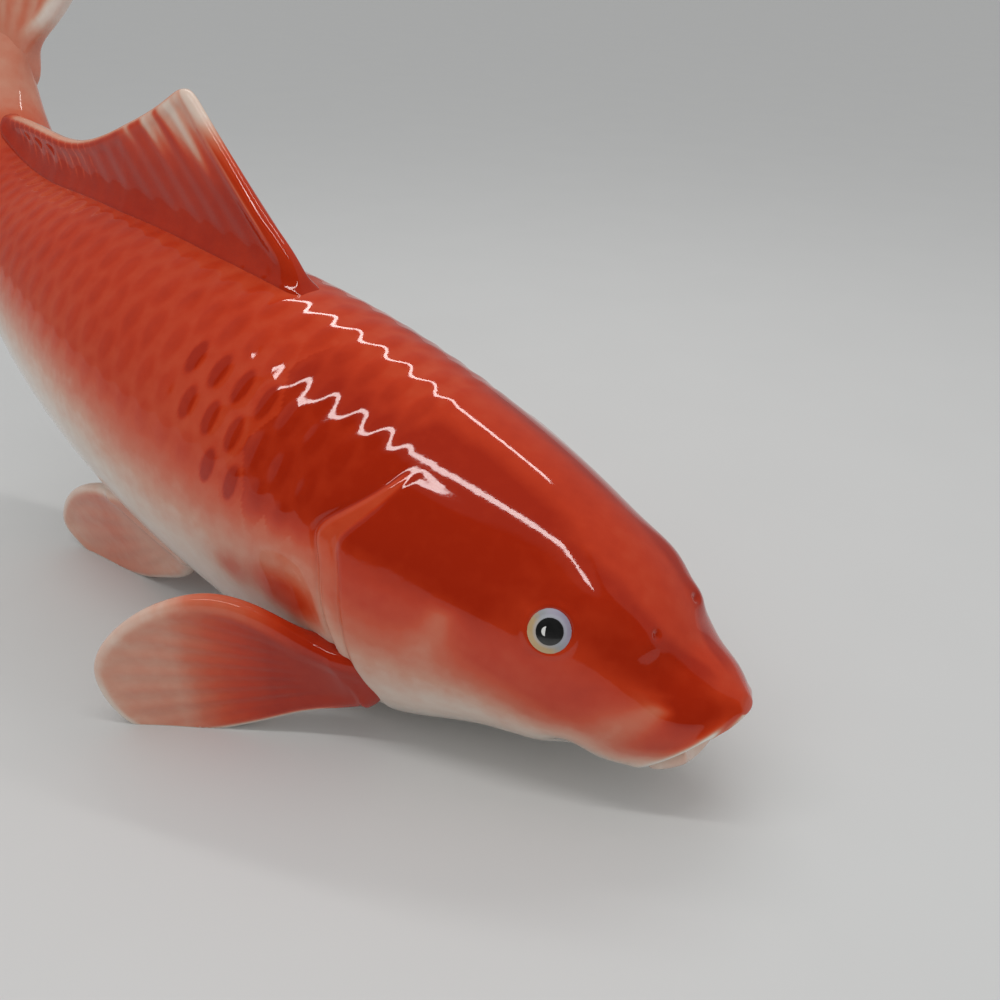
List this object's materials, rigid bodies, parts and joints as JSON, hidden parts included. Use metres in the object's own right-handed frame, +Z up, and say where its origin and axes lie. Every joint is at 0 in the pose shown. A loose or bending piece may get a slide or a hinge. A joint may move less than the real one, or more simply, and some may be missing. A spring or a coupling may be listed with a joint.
{
  "type": "fish figurine",
  "caption": "Glazed porcelain carp figurine with raised curved tail, spread paired fins and a saw-edged dorsal fin; rests on a flat table or shelf.",
  "frame": {"origin": "on the resting surface, at the middle of the box around the whole fish", "axes": "+Z up, +X towards the fish's snout, +Y to the fish's left"},
  "size_m": [0.2572, 0.1008, 0.1503],
  "materials": {
    "orange_glaze": "orange-red airbrushed underglaze fading to white on the belly, under a clear gloss glaze",
    "fin_glaze": "red at the root fading to a white rim, under a clear gloss glaze",
    "iris_enamel": "gloss grey enamel",
    "black_enamel": "gloss black enamel",
    "white_enamel": "gloss white enamel"
  },
  "bodies": {
    "root": {"body_shell": "orange_glaze", "dorsal_fin": "fin_glaze", "tail_fin": "fin_glaze", "anal_fin": "fin_glaze", "pectoral_fin_right": "fin_glaze", "pectoral_fin_left": "fin_glaze", "pelvic_fin_right": "fin_glaze", "pelvic_fin_left": "fin_glaze", "eye_iris_right": "iris_enamel", "eye_iris_left": "iris_enamel", "eye_pupil_right": "black_enamel", "eye_pupil_left": "black_enamel", "eye_glint_right": "white_enamel", "eye_glint_left": "white_enamel"}
  },
  "joints": []
}
